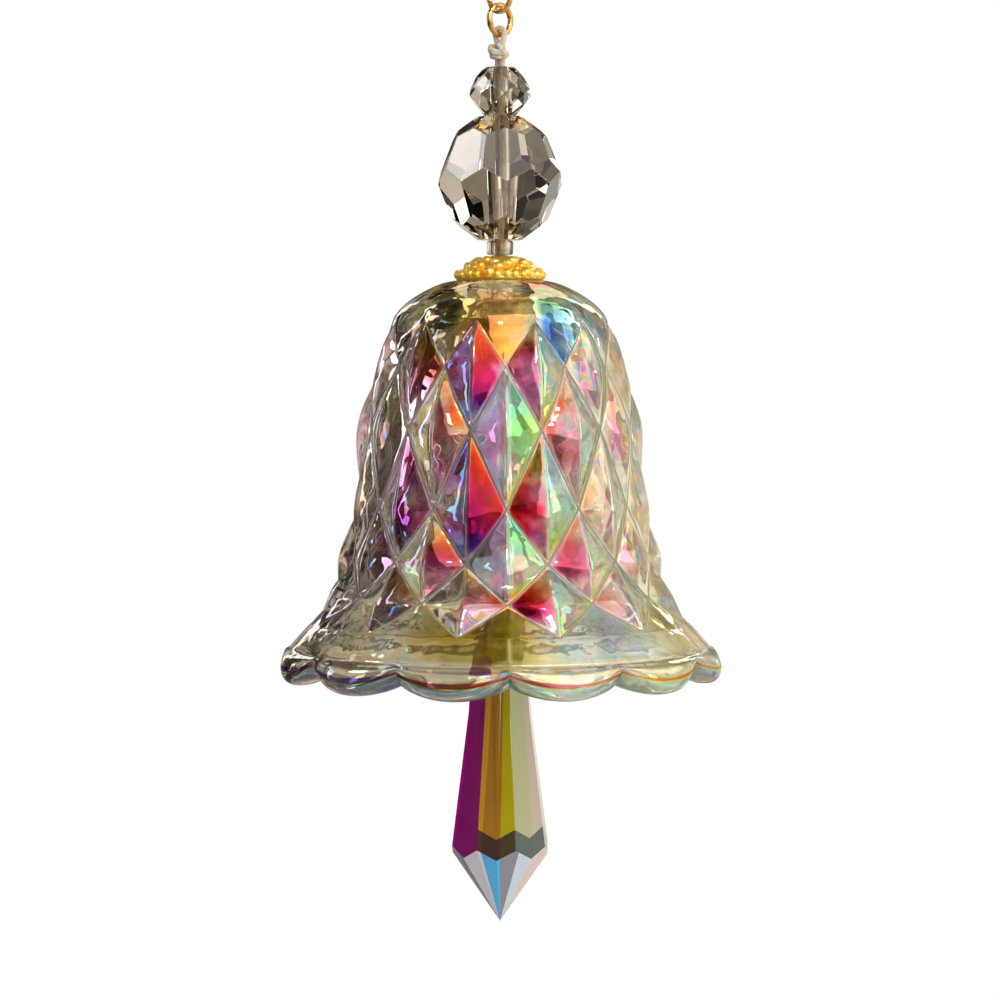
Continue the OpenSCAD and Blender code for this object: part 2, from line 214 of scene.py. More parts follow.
class Nodes:
    """Builds a node tree in few words."""

    def __init__(self, tree):
        self.tree = tree
        tree.nodes.clear()

    def add(self, kind, **settings):
        node = self.tree.nodes.new(kind)
        for key, value in settings.items():
            setattr(node, key, value)
        return node

    def set(self, node, socket, value):
        """A value that is a socket is linked; anything else becomes the input's own value."""
        if isinstance(socket, str):
            names = [s for s in node.inputs if s.name.lower() == socket.lower() and s.enabled]
            target = names[0] if names else node.inputs[socket]
        else:
            target = node.inputs[socket]
        if isinstance(value, bpy.types.NodeSocket):
            self.tree.links.new(value, target)
        else:
            target.default_value = value

    def fill(self, node, **values):
        """Sets inputs by their names, written small and with underscores."""
        for key, value in values.items():
            self.set(node, key.replace("_", " "), value)

    def math(self, operation, *values):
        node = self.add("ShaderNodeMath", operation=operation)
        for i, value in enumerate(values):
            self.set(node, i, value)
        return node.outputs[0]

    def times(self, a, b):
        return self.math("MULTIPLY", a, b)

    def scaled(self, value, gain, offset):
        return self.math("MULTIPLY_ADD", value, gain, offset)

    def clamp(self, value, low=0.0, high=1.0):
        return self.math("MINIMUM", self.math("MAXIMUM", value, low), high)

    def mix(self, factor, a, b, blend="MIX"):
        node = self.add("ShaderNodeMix", data_type="RGBA", blend_type=blend)
        self.set(node, 0, factor)
        self.set(node, 6, a)
        self.set(node, 7, b)
        return node.outputs[2]

    def ramp(self, factor, stops, interpolation="LINEAR"):
        node = self.add("ShaderNodeValToRGB")
        node.color_ramp.interpolation = interpolation
        elements = node.color_ramp.elements
        while len(elements) < len(stops):
            elements.new(0.5)
        for element, (place, colour) in zip(elements, stops):
            element.position = place
            element.color = (*colour, 1) if len(colour) == 3 else colour
        self.set(node, 0, factor)
        return node.outputs[0]

    def noise(self, vector, scale, detail=2.0, rough=0.5):
        node = self.add("ShaderNodeTexNoise")
        self.fill(node, vector=vector, scale=scale, detail=detail, roughness=rough)
        return node.outputs["Fac"]

    def bump(self, height, strength, distance):
        node = self.add("ShaderNodeBump")
        self.fill(node, strength=strength, distance=distance, height=height)
        return node.outputs["Normal"]

    def parts(self, vector):
        """The x, y and z of a vector."""
        node = self.add("ShaderNodeSeparateXYZ")
        self.set(node, "Vector", vector)
        return node.outputs


def new_material(name):
    """A material with one Principled shader, as (material, nodes, shader, object coordinates)."""
    material = bpy.data.materials.new(name)
    material.use_nodes = True
    nodes = Nodes(material.node_tree)
    shader = nodes.add("ShaderNodeBsdfPrincipled")
    output = nodes.add("ShaderNodeOutputMaterial")
    nodes.set(output, "Surface", shader.outputs["BSDF"])
    place = nodes.add("ShaderNodeTexCoord").outputs["Object"]
    return material, nodes, shader, place


def gold_material(name, low, middle, high, rough, metal=1.0):
    """Gold plate: three shades in slow clouds, with a faint grain."""
    material, nodes, shader, place = new_material(name)
    cloud = nodes.noise(place, 420.0, 3.0)
    wear = nodes.noise(place, 900.0, 2.0)
    grain = nodes.noise(place, 1500.0, 2.0)
    nodes.fill(shader,
               base_color=nodes.ramp(cloud, [(0.3, low), (0.5, middle), (0.7, high)]),
               metallic=metal,
               roughness=nodes.scaled(wear, 0.2, rough),
               normal=nodes.bump(grain, 0.25, 0.00008))
    return material


def cord_material():
    """Milky elastic cord with a fine grain, and some light through it."""
    material, nodes, shader, place = new_material("elastic_cord")
    cloud = nodes.noise(place, 900.0, 3.0)
    grain = nodes.noise(place, 2600.0, 3.0)
    nodes.fill(shader,
               base_color=nodes.ramp(cloud, [(0.3, (0.64, 0.48, 0.32)), (0.6, (0.98, 0.90, 0.77))]),
               roughness=nodes.scaled(cloud, 0.2, 0.25),
               ior=1.45,
               transmission_weight=0.35,
               subsurface_weight=0.25,
               subsurface_scale=0.0006,
               normal=nodes.bump(grain, 0.5, 0.0001))
    return material


def crystal_material(name, low, high, ior=1.55):
    """Cut glass with a faint tint that varies a little through it."""
    material, nodes, shader, place = new_material(name)
    cloud = nodes.noise(place, 110.0, 1.0)
    nodes.fill(shader,
               base_color=nodes.ramp(cloud, [(0.3, low), (0.7, high)]),
               roughness=0.0,
               ior=ior,
               transmission_weight=1.0)
    return material


# Measures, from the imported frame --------

def top_of(node):
    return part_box(node)[1].z


def foot_of(node):
    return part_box(node)[0].z


def measures(node):
    """A node's middle, half its width, half its height, and its top."""
    low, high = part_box(node)
    return (low + high) / 2, (high.x - low.x) / 2, (high.z - low.z) / 2, high.z


# Rings ----------------------------------

def jump_ring(node, body, wire_d, turn, joint_at, material):
    """A ring of round wire whose two rounded ends meet at joint_at degrees."""
    centre, _, half_h, _ = measures(node)
    mean_r = half_h - wire_d / 2
    gap = 0.06 * wire_d / mean_r
    steps = 120
    angles = [radians(joint_at) + gap / 2 + (TAU - gap) * k / steps for k in range(steps + 1)]
    points = [(mean_r * cos(t), 0, mean_r * sin(t)) for t in angles]

    def wire_r(share):
        from_end = min(share, 1 - share) * TAU * mean_r
        rounding = 0.16 * exp(-from_end / (0.08 * wire_d))
        return wire_d / 2 * (1 - rounding)

    bm = bmesh.new()
    tube(bm, [p + centre for p in turned(points, turn)], wire_r, sides=24)
    finish_piece(node + "_wire", bm, body, material, [node], sharp_deg=60)


# Cord -----------------------------------

def cord_loop(wire_z, mean_r, way):
    """Half a turn of cord over (way 1) or under (way -1) a wire, in the XZ plane."""
    steps = 14
    return [(mean_r * cos(t), 0, wire_z + way * mean_r * sin(t))
            for t in (pi * (1 - k / steps) for k in range(steps + 1))]


def doubled_cord(name, node, body, material, end_z, bend_z, wire_z, wire_d, way, turn):
    """Both strands of a cord from end_z to its loop and back, a little uneven as they run."""
    off = (CORD_D + STRAND_GAP) / 2
    steps = 40
    sway = 0.03 * MM
    sway_rate = 900
    heights = [end_z + (bend_z - end_z) * k / steps for k in range(steps)]
    left, right = ([(side * off, sway * sin(sway_rate * z + side), z) for z in heights]
                   for side in (-1, 1))
    loop = cord_loop(wire_z, (wire_d + CORD_D) / 2 + WIRE_GAP, way)
    path = left + [(-off, 0, bend_z)] + loop + [(off, 0, bend_z)] + right[::-1]
    bm = bmesh.new()
    tube(bm, turned(path, turn), 0.995 * CORD_D / 2, sides=14)
    finish_piece(name, bm, body, material, [node])


def overhand_knot(body, material):
    """A small overhand knot in the doubled cord, pulled tight into a lump to the left of the cord."""
    middle, half_w, half_h, _ = measures("cord_knot")
    strand_r = 0.43 * CORD_D
    r = half_w - strand_r
    # The way of one strand, as shares of the knot's radius and half height
    turns = [(0.15, 0.1, 1.2), (0.10, -0.55, 0.75), (0.45, -0.85, 0.25), (0.30, -0.8, -0.25),
             (-0.45, -0.75, -0.15), (-0.95, -0.2, 0.35), (-0.75, 0.45, 0.75), (0.05, 0.75, 0.55),
             (0.75, 0.4, 0.05), (0.55, -0.35, -0.55), (-0.15, -0.75, -0.75), (-0.75, -0.2, -0.55),
             (-0.6, 0.5, -0.1), (-0.1, 0.5, 0.35), (0.3, 0.0, -0.4), (0.05, 0.1, -1.15)]
    second_strand = Vector((-0.28, -0.20, 0.42)) * CORD_D
    bm = bmesh.new()
    for shift, size in ((Vector(), 0.98), (second_strand, 0.80)):
        points = [(size * r * x - 0.06 * r, size * r * y, 0.74 * half_h * z) for x, y, z in turns]
        path = [Vector(p) + shift + middle for p in smooth_line(points, 8)]
        path = [Vector((max(p.x, middle.x - r), p.y, p.z)) for p in path]
        tube(bm, path, strand_r, sides=14)
    finish_piece("overhand_knot", bm, body, material, ["cord_knot"])


# Crystal beads --------------------------

def cut_bead(name, node, body, cuts, r, material):
    """A bead cut in rows of flat facets, with polished edges and a bore along Z."""
    middle, _, half_h, _ = measures(node)
    bm = bmesh.new()
    bmesh.ops.create_cube(bm, size=4 * half_h)

    def cut(normal, distance):
        parts = bm.verts[:] + bm.edges[:] + bm.faces[:]
        bmesh.ops.bisect_plane(bm, geom=parts, dist=1e-7, plane_co=normal * distance, plane_no=normal,
                               clear_outer=True)
        rim = [e for e in bm.edges if e.is_boundary]
        if rim:
            bmesh.ops.contextual_create(bm, geom=rim)

    for side in (-1, 1):
        cut(Vector((0, 0, side)), half_h)
    for latitude, distance, offset in cuts:
        for half, shift in ((1, 0.0), (-1, 0.5)):
            for k in range(BEAD_FACETS):
                longitude = BEAD_TURN + (k + offset + shift) * 360 / BEAD_FACETS
                cut(towards(longitude, half * latitude), distance * r)
    polish(bm, 0.006 * half_h)
    bore_through(bm, CORD_HOLE_R, half_h)
    bm.transform(Matrix.Translation(middle))
    finish_piece(name, bm, body, material, [node], sharp_deg=4)


def bore_through(bm, bore_r, half_h):
    """Opens a bore along Z between a solid's flat top and its flat foot."""
    sides = 48
    rims = []
    bm.normal_update()
    for side in (-1, 1):
        face = max(bm.faces, key=lambda f: side * f.calc_center_median().z * (abs(f.normal.z) > 0.99))
        outline = sorted(face.verts[:], key=lambda v: atan2(v.co.y, v.co.x))
        bmesh.ops.delete(bm, geom=[face], context="FACES_ONLY")
        z = side * half_h
        mouth, neck = [
            [bm.verts.new((r * cos(t), r * sin(t), z - side * drop))
             for t in (TAU * (k + 0.5) / sides - pi for k in range(sides))]
            for r, drop in ((1.12 * bore_r, 0), (bore_r, 0.12 * bore_r))]
        join_unequal(bm, outline, mouth)
        join_rings(bm, mouth, neck)
        rims.append(neck)
    join_rings(bm, *rims)


def join_unequal(bm, outer, inner):
    """Fills the flat space between two rings of vertices, both sorted by angle."""
    def angle(ring, i):
        turns, k = divmod(i, len(ring))
        return atan2(ring[k].co.y, ring[k].co.x) + TAU * turns

    i, j = 0, 0
    while i < len(outer) or j < len(inner):
        a, b = outer[i % len(outer)], inner[j % len(inner)]
        if j >= len(inner) or (i < len(outer) and angle(outer, i + 1) <= angle(inner, j + 1)):
            bm.faces.new((a, outer[(i + 1) % len(outer)], b))
            i += 1
        else:
            bm.faces.new((a, inner[(j + 1) % len(inner)], b))
            j += 1


def spacer(body, material):
    """A short clear tube with rounded edges."""
    middle, r, half_h, _ = measures("spacer_bead")
    outer_bend = 0.22 * r
    inner_bend = outer_bend / 2
    corners = [(r - outer_bend, half_h - outer_bend, outer_bend),
               (CORD_HOLE_R + inner_bend, half_h - inner_bend, inner_bend),
               (CORD_HOLE_R + inner_bend, -half_h + inner_bend, inner_bend),
               (r - outer_bend, -half_h + outer_bend, outer_bend)]
    profile = []
    for quarter, (x, z, bend) in enumerate(corners):
        for k in range(7):
            t = radians(90 * quarter + 15 * k)
            profile.append((x + bend * cos(t), z + bend * sin(t)))
    turned_piece("clear_spacer", "spacer_bead", body, material, profile, 64, middle)


# Caps -----------------------------------

def granulated_cap(body, material):
    """A shallow gold dome covered in uneven soldered granules, with a row of them round its edge."""
    low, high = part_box("bead_cap")
    r_cap = (high.x - low.x) / 2
    height = high.z - low.z
    skin = 0.12 * height
    granule = 0.92 * MM
    skin_r = r_cap - 0.5 * granule
    reach = skin_r - CORD_HOLE_R

    def dome(r):
        share = max(0.0, (r - CORD_HOLE_R) / reach)
        return low.z + (height - skin) * (1 - share ** 1.25)

    bm = bmesh.new()
    radii = [CORD_HOLE_R + reach * k / 16 for k in range(17)]
    outer = [(r, dome(r) + skin) for r in radii]
    inner = [(r, dome(r)) for r in radii[::-1]]
    revolve(bm, outer + inner, 96)

    def granule_at(size, squash, r, t, z):
        made = bmesh.ops.create_icosphere(bm, subdivisions=3, radius=size)
        spot = Vector((r * cos(t), r * sin(t), z))
        for v in made["verts"]:
            v.co = squash @ v.co + spot
        return made["verts"]

    over_dome = 50
    for k in range(over_dome):
        t = TAU * 0.618034 * k + random.uniform(-0.12, 0.12)
        share = sqrt((k + 0.5) / over_dome)
        r = CORD_HOLE_R + reach * (0.16 + 0.82 * share) + random.uniform(-0.15, 0.15) * MM
        size = granule * random.uniform(0.66, 1.12)
        squash = Matrix.Diagonal((1, random.uniform(0.85, 1.15), random.uniform(0.8, 1.0)))
        for v in granule_at(size, squash, r, t, min(dome(r) + skin + 0.15 * size, high.z - size)):
            far = hypot(v.co.x, v.co.y)
            if far > r_cap:
                v.co.xy *= r_cap / far
            v.co.z = max(v.co.z, low.z)
    round_edge = 26
    for k in range(round_edge):
        t = TAU * (k + random.uniform(-0.22, 0.22)) / round_edge
        size = granule * random.uniform(0.70, 0.95)
        granule_at(size, Matrix.Identity(3), r_cap - size, t, low.z + size * random.uniform(0.95, 1.15))
    finish_piece("granulated_cap", bm, body, material, ["bead_cap"])


def inside_cap(body, material):
    """The plain cap under the crown, inside the bell, with a rolled edge."""
    _, r, half_h, top = measures("inner_cap")
    h = 2 * half_h
    wall = 0.09 * r
    outline = smooth_line([(r, -0.02 * h), (0.98 * r, -0.14 * h), (0.8 * r, -0.55 * h),
                           (0.42 * r, -0.97 * h), (0.24 * r, -h)], 6)
    inside = smooth_line([(0.24 * r, -h + wall), (0.36 * r, -h + 1.2 * wall), (0.7 * r, -0.4 * h),
                          (0.9 * r, 0)], 6)
    turned_piece("inside_cap", "inner_cap", body, material, outline + inside, 96, (0, 0, top))


# Bell -----------------------------------

# Cells of the lattice round the bell. A column or a row of the lattice is half a cell.
CELLS = 12
COLUMNS = 2 * CELLS
LATTICE_ROWS = 5
# Steps of the mesh in one column or row
FINE = 14
BELL_TURN = 2.6
# Outlines are in millimetres below the crown, on a bell of this height
BELL_H = 63.5
# Heights of the rows of crossings
ROW_Z = [-6.2, -13.5, -23.3, -35.4, -43.7, -49.7, -54.4]
# Radius and height along the bottom of the grooves, along the skirt, and up the wall of the hollow
GROOVES = [(7.6, 0), (9.6, -0.5), (12, -1.6), (14.3, -3), (15.9, -4.4), (17.1, -6.2), (18, -9.5),
           (18.5, -13.5), (20, -18), (21, -23.3), (21.6, -29), (22.3, -35.4), (24, -43.7), (26.1, -49.7),
           (30, -54.4), (32.1, -57)]
SKIRT = [(30, -54.4), (31.0, -55.3), (32.1, -56.5), (32.9, -57.4)]
HOLLOW = [(31.6, -63.0), (31.2, -61.8), (29.4, -58.5), (25.6, -54.4), (22.5, -49.7), (21, -43.7),
          (19.5, -35.4), (18.4, -26), (17.2, -19.5), (15.2, -13.5), (13.6, -9), (11, -6.2), (8, -4.7),
          (4, -4.5), (1.5, -4.5)]
# The lip: millimetres short of the widest, height over the foot, and share of the scallop
LIP = [(2.3, 5.6, 0), (1.9, 5.1, 0.05), (0.7, 4.1, 0.3), (0, 2.4, 0.8), (0.25, 1, 1), (1.1, 0.2, 1),
       (2.6, 0, 1), (4.05, 0.5, 1)]
# Height over the foot of the dark line round the lip
LIP_LINE = 2.5
PILLOW_H = 2.2
SEAM_H = 0.10
SCALLOP_DROP = 2.1
SCALLOP_INSET = 2.0
# How far the rim stays inside the CAD rim
RIM_CLEARANCE = 0.02


def reading(table, x):
    """Straight-line reading at x of a table of (x, y) pairs in rising order."""
    if x <= table[0][0]:
        return table[0][1]
    for (x0, y0), (x1, y1) in zip(table, table[1:]):
        if x <= x1:
            return y0 + (y1 - y0) * (x - x0) / (x1 - x0)
    return table[-1][1]


def cell_at(a, w):
    """The cell round column a and row w: the numbers of its two diagonals, and how far the point is across
    and down from its middle, from -1 to 1."""
    p, q = round((a + w) / 2), round((a - w) / 2)
    return p, q, a - (p + q), w - (p - q)


def pillow(a, w):
    """Rise of the pillow at column a and row w: a low pyramid on each cell, soft at ridges and grooves."""
    p, q, across, down = cell_at(a, w)
    if not 1 <= p - q <= LATTICE_ROWS:
        return 0.0
    across, down = abs(across), abs(down)
    inside = max(0.0, 1 - across - down)
    across += inside * (sqrt(across * across + 0.0025) - across)
    down += inside * (sqrt(down * down + 0.03) - down)
    m = (across + down) / 2
    rise = max(0.0, 1.02 - 2.08 * m)
    puffed = rise * (1.3 - 0.3 * rise)
    soft = 0.02
    return PILLOW_H * (sqrt(puffed * puffed + soft * soft) - soft)


def lobe(a):
    """0 in a notch of the rim and 1 on the crest of a lobe."""
    return abs(sin(radians(90 * a))) ** 0.75


def seam(a, z):
    """Rise of the mould's two seams at column a."""
    off = (a + CELLS / 2) % CELLS - CELLS / 2
    fade = min(1.0, max(0.0, (-z - 8) / 6))
    return SEAM_H * fade * exp(-(off / 0.05) ** 2)


def longitude_of(a):
    return radians(BELL_TURN + a * 180 / CELLS)


def facing(longitude):
    """Degrees from the front, or from the back for the far half, positive towards +X."""
    turn = (degrees(longitude) + 180) % 360 - 180
    return copysign(180 - abs(turn), turn) if abs(turn) > 90 else turn


def side_shade(longitude):
    """Share of painted shade in the glass, a greyer tint: strongest at the left hand."""
    return reading([(-90, 1.0), (-45, 0.85), (-20, 0.4), (8, 0.15), (90, 0.0)], facing(longitude))


def film(a, w):
    """The coating's (phase, depth) on the lattice. They also set the real thin film, but the colours are
    placed by the way each facet faces, as painted iridescent reflection. On each pillow the facet that faces
    the front or the back of the bell runs from gold through red to purple, and clears towards its foot. The
    other is pale: lavender where the bell is seen on its left hand, and teal to yellow on its right."""
    longitude = longitude_of(a)
    p, q, across, down = cell_at(a, w)
    if p - q < 1:
        return crown_film(longitude)
    if p - q > LATTICE_ROWS:
        return skirt_film(longitude)
    cell = Vector((p % CELLS, q % CELLS, 0.5))
    luck = noise.cell(cell * 1.37)
    luck_2 = noise.cell(cell * 2.11 + Vector((9, 4, 0)))
    # 1 to the right of the front and, seen from behind, to the right of the back, so the painted reflection
    # mirrors
    hand = 1 if sin(radians(2 * a * 180 / CELLS)) > 0 else -1
    # Painted reflection: the colours are strongest where a facet faces the front or the back
    zone = cos(longitude) ** 2
    plain = 1 - min(1.0, seam(a, -30) / 0.06)
    if across * hand < 0:
        start, spread = (0.70, 0.13) if hand > 0 else (0.60, 0.19)
        warm = start + spread * (down + 1) + 0.06 * (1 - abs(across)) + 0.09 * luck
        clear = reading([(-1, 0.0), (0.15 + 0.5 * luck_2, 0.0), (0.45 + 0.5 * luck_2, 0.7)], down)
        inside = reading([(0.0, 0.15), (0.11, 1.0)], min(abs(across), 0.7 * (1 - abs(across) - abs(down))))
        if hand > 0:
            warm = 0.54 + (warm - 0.54) * min(1.0, 1.8 * zone)
        strong = max(0.10, 1.85 * zone - 0.80) if hand > 0 else max(0.02, 1.55 * zone - 0.45)
        return warm, plain * inside * strong * (1.0 + 0.3 * luck_2) * (1 - clear)
    if hand > 0:
        return 0.28 + 0.145 * (down + 1) + 0.05 * luck, plain * (0.28 + 0.50 * zone ** 3)
    return 0.03 + 0.05 * (down + 1) + 0.06 * luck, plain * (0.06 + 0.30 * zone) * (0.4 + 1.0 * luck_2)


def groove_shade(a, w):
    """1 in a groove of the lattice, and 0 a little way from it: where shade is painted along the grooves."""
    p, q, across, down = cell_at(a, w)
    if not 1 <= p - q <= LATTICE_ROWS:
        return 0.0
    off = (1 - abs(across) - abs(down)) / 2
    return exp(-(off / 0.032) ** 2)


def crown_film(longitude):
    """The coating's (phase, depth) on the crown, placed by the way it faces as painted iridescent reflection:
    almost clear at the left hand, amber in front, blue-green at the right."""
    turn = facing(longitude)
    phase = reading([(-90, 0.60), (-28, 0.58), (-18, 0.62), (9, 0.62), (17, 0.60), (22, 0.20), (34, 0.17),
                     (45, 0.22), (60, 0.30), (90, 0.5)], turn)
    depth = reading([(-90, 0.03), (-28, 0.06), (-15, 0.60), (0, 0.70), (10, 0.65), (18, 0.1), (24, 1.0),
                     (34, 0.75), (48, 0.10), (90, 0.05)], turn)
    return phase, depth


def skirt_film(longitude):
    """The coating's (phase, depth) under the lattice, placed by the way it faces as painted iridescent
    reflection:
    clear at the left hand, then olive gold, then pale blue, then pale gold."""
    turn = facing(longitude)
    phase = reading([(-80, 0.60), (-45, 0.58), (-22, 0.50), (6, 0.54), (12, 0.58), (20, 0.20), (40, 0.16),
                     (56, 0.57), (80, 0.60)], turn)
    depth = reading([(-80, 0.04), (-34, 0.06), (-18, 0.8), (2, 0.7), (12, 0.20), (22, 0.22), (40, 0.22),
                     (54, 0.18), (80, 0.15)], turn)
    return phase, depth


# Share of painted light on the glass, a milky cream, at degrees from the front
CROWN_PAINTED_LIGHT = [(-90, 0.0), (-26, 0.0), (-16, 0.50), (0, 0.66), (12, 0.55), (20, 0.02), (38, 0.05),
              (55, 0.22), (90, 0.28)]
LATTICE_PAINTED_LIGHT = [(-90, 0.06), (-50, 0.06), (-30, 0.0), (12, 0.0), (30, 0.18), (55, 0.34), (90, 0.38)]
SKIRT_PAINTED_LIGHT = [(-90, 0.15), (-40, 0.12), (-15, 0.06), (10, 0.12), (28, 0.34), (50, 0.56), (90, 0.56)]


# Painted light: its share at column a, by the way the glass faces
def painted_light_at(table, a):
    return reading(table, facing(longitude_of(a)))


def lip_film(longitude, over):
    """The coating's (phase, depth) on the lip, at a height over the foot: a dark rainbow line runs round its
    middle, over a pale aqua and lavender edge."""
    line = exp(-((over - LIP_LINE) / 0.42) ** 2)
    glow = exp(-((over - 1.6) / 0.8) ** 2)
    sweep = 0.88 - 0.30 * sin(longitude) + 0.05 * sin(7 * longitude)
    edge = 0.22 + 0.12 * sin(3 * longitude) + (0.3 if over > 3.2 else 0.0)
    share = min(1.0, line * 1.5)
    return share * sweep + (1 - share) * edge, 0.10 + 1.3 * line + 0.35 * glow


# Coats: each gives the film's phase and depth, the line and the painted light at column a and row w

def crown_coat(share):
    """The crown's coat: plain pale gold at its top (share 0), and its full colours at its edge."""
    def coat(a, w):
        phase, depth = crown_film(longitude_of(a))
        painted_light = (1 - 0.55 * share) * painted_light_at(CROWN_PAINTED_LIGHT, a)
        return share * phase + (1 - share) * 0.59, share * depth + (1 - share) * 0.22, 0.0, painted_light
    return coat


def lattice_coat(a, w):
    phase, depth = film(a, w)
    down = reading([(0.0, 0.0), (1.0, 1.0)], w)
    painted_light = (1 - down) * 0.45 * painted_light_at(CROWN_PAINTED_LIGHT, a) + down * painted_light_at(LATTICE_PAINTED_LIGHT, a)
    return phase, depth, groove_shade(a, w), painted_light * (1 - 0.85 * min(1.0, 1.3 * depth))


# The skirt's painted light, with a painted highlight along the seams
def skirt_coat(a, w):
    return (*skirt_film(longitude_of(a)), 0.0, max(painted_light_at(SKIRT_PAINTED_LIGHT, a), 7.5 * seam(a, -60)))


def lip_coat(over):
    line = 0.75 * exp(-((over - LIP_LINE) / 0.35) ** 2)
    return lambda a, w: (*lip_film(longitude_of(a), over), line, 0.5 * painted_light_at(SKIRT_PAINTED_LIGHT, a))


def bare_coat(a, w):
    return 0.0, 0.0, 0.0, 0.0


def coated_mesh(rings, rows, coats):
    """A closed mesh of rings of points, with each ring's coat on the corners of its faces, so that the coat
    changes sharply from facet to facet. rows has a number for each ring that lies on the lattice."""
    bm = bmesh.new()
    # Of these, the third carries painted shade along the grooves, the fourth painted light and the fifth
    # painted shade at the left hand
    names = ("film_phase", "film_depth", "film_line", "film_painted_light", "film_side_shade")
    layers = [bm.loops.layers.float.new(name) for name in names]
    verts = [[bm.verts.new(p) for p in ring] for ring in rings]
    size = len(rings[0])
    # How far a corner's reading is moved in from its groove, as a share of the way to the face's middle
    nudge = 0.03
    for j in range(len(rings)):
        below = (j + 1) % len(rings)
        on_lattice = rows[j] is not None and rows[below] is not None
        for i in range(size):
            corners = [(j, i), (j, i + 1), (below, i + 1), (below, i)]
            shapes = [corners]
            if on_lattice:
                # The quad is split along the groove beside it
                p = (i + 0.5) / FINE + (rows[j] + rows[below]) / 2
                q = (i + 0.5) / FINE - (rows[j] + rows[below]) / 2
                rising = abs((p / 2) % 1 - 0.5) < abs((q / 2) % 1 - 0.5)
                cut = ((0, 1, 3), (1, 2, 3)) if rising else ((0, 1, 2), (0, 2, 3))
                shapes = [[corners[k] for k in part] for part in cut]
            for shape in shapes:
                face = bm.faces.new([verts[y][x % size] for y, x in shape])
                middle_a = sum(x for y, x in shape) / len(shape) / FINE
                middle_w = sum(rows[y] for y, x in shape) / len(shape) if on_lattice else 0.0
                for loop, (y, x) in zip(face.loops, shape):
                    a = x / FINE + nudge * (middle_a - x / FINE)
                    w = rows[y] + nudge * (middle_w - rows[y]) if on_lattice else 0.0
                    # Beside the lattice, a face has the coat of its ring that is off it
                    own = on_lattice or rows[y] is None
                    coat = coats[y] if own else coats[j if y == below else below]
                    for layer, value in zip(layers, (*coat(a, w), side_shade(longitude_of(a)))):
                        loop[layer] = value
    return bm


def bell(body, material):
    """The bell: a lattice of pillows between a smooth crown and a scalloped lip, and a smooth hollow."""
    _, _, half_h, top = measures("glass_bell")
    up = 2 * half_h / BELL_H
    cad_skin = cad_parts["glass_bell"].data.vertices
    rim_r = max(hypot(v.co.x, v.co.y) for v in cad_skin) / MM - RIM_CLEARANCE
    columns = [k / FINE for k in range(COLUMNS * FINE)]

    def place(a, r, z):
        t = longitude_of(a) - pi / 2
        return Vector((r * MM * cos(t), r * MM * sin(t), top + z * up))

    def uneven(a, z, amount, seed):
        """Slow waves of pressed glass, in millimetres."""
        t = radians(a * 180 / CELLS)
        spot = Vector((1.6 * cos(t), 1.6 * sin(t), -0.11 * z)) + Vector((seed, 0, 0))
        return amount * noise.fractal(spot, 0.8, 2.0, 2)

    grooves = smooth_line(GROOVES, 6)
    groove_r = [(-z, r) for r, z in grooves]
    row_height = list(enumerate(ROW_Z))
    rings, rows, coats = [], [], []

    def add_ring(points, coat, row=None):
        rings.append(points)
        rows.append(row)
        coats.append(coat)

    for r in (1.6, 3.4, 5.4):
        add_ring([place(a, r, 0) for a in columns], crown_coat(0.0))
    for r, z in grooves:
        if z > ROW_Z[0]:
            add_ring([place(a, r, z) for a in columns], crown_coat(min(1.0, max(0.0, (r - 11) / 4.5))))
    for j in range((LATTICE_ROWS + 1) * FINE + 1):
        w = j / FINE
        z = reading(row_height, w)
        base = reading(groove_r, -z)
        add_ring([place(a, base + pillow(a, w) + seam(a, z) + uneven(a, z, 0.12, 0.0), z) for a in columns],
                 lattice_coat, w)
    for r, z in smooth_line(SKIRT, 4)[1:]:
        add_ring([place(a, r + 0.6 * seam(a, z), z) for a in columns], skirt_coat)
    for inset, over, share in smooth_line(LIP, 8):
        ring = []
        for a in columns:
            short = share * (1 - lobe(a))
            r = rim_r - inset - SCALLOP_INSET * short + 0.5 * seam(a, -60)
            ring.append(place(a, min(rim_r, r), over - BELL_H + SCALLOP_DROP * short))
        add_ring(ring, lip_coat(over))
    for r, z in smooth_line(HOLLOW, 5):
        share = min(1.0, max(0.0, (-z - 59.5) / 3.0))
        wave = min(1.0, r / 12)
        add_ring([place(a, r + uneven(a, z, 0.3, 5.0) * wave, z + share * 1.6 * (1 - lobe(a)))
                  for a in columns], bare_coat)

    bm = coated_mesh(rings, rows, coats)
    finish_piece("pressed_glass_bell", bm, body, material, ["glass_bell"], sharp_deg=55)


# Clapper --------------------------------

# The icicle, in millimetres: its widest corners, waist, tip, top, and the flats round its hole
DROP_SIDES = 8
DROP_R = 8.1
DROP_WAIST_R = 5.3
DROP_WAIST_H = 34
DROP_TIP_H = 12.7
DROP_TOP_R = 3.2
DROP_CHAMFER = 0.5
DROP_FLAT = 2.2
DROP_FLAT_H = 4.2
DROP_HOLE_R = 0.9
DROP_HOLE_DEPTH = 2.6


def crimp(body, material):
    """A short crimped tube round the cord's two strands, pressed at its middle."""
    middle, r, half_h, _ = measures("loop_crimp")
    wall = 0.4 * MM
    pinch = 0.10
    outer = [(r * (1 - pinch * cos(pi * t / 2) ** 2), t * half_h)
             for t in (k / 8 for k in range(-8, 9))]
    inner = [(r - wall, t * half_h) for t in (0.94, -0.94)]
    turned_piece("cord_crimp", "loop_crimp", body, material, outer + inner, 48, middle)


def stop(body, material):
    """The round bead that the inner cap rests on, with a hole that flares below."""
    _, r, half_h, top = measures("stop_bead")
    h = 2 * half_h
    outer = smooth_line([(0.6 * r, 0), (0.86 * r, -0.1 * h), (0.99 * r, -0.4 * h), (0.98 * r, -0.65 * h),
                         (0.86 * r, -0.93 * h), (0.72 * r, -h)], 6)
    inner = [(0.69 * r, -0.99 * h), (0.49 * r, -0.55 * h), (0.49 * r, -0.02 * h)]
    turned_piece("stop_bead_turned", "stop_bead", body, material, outer + inner, 64, (0, 0, top))


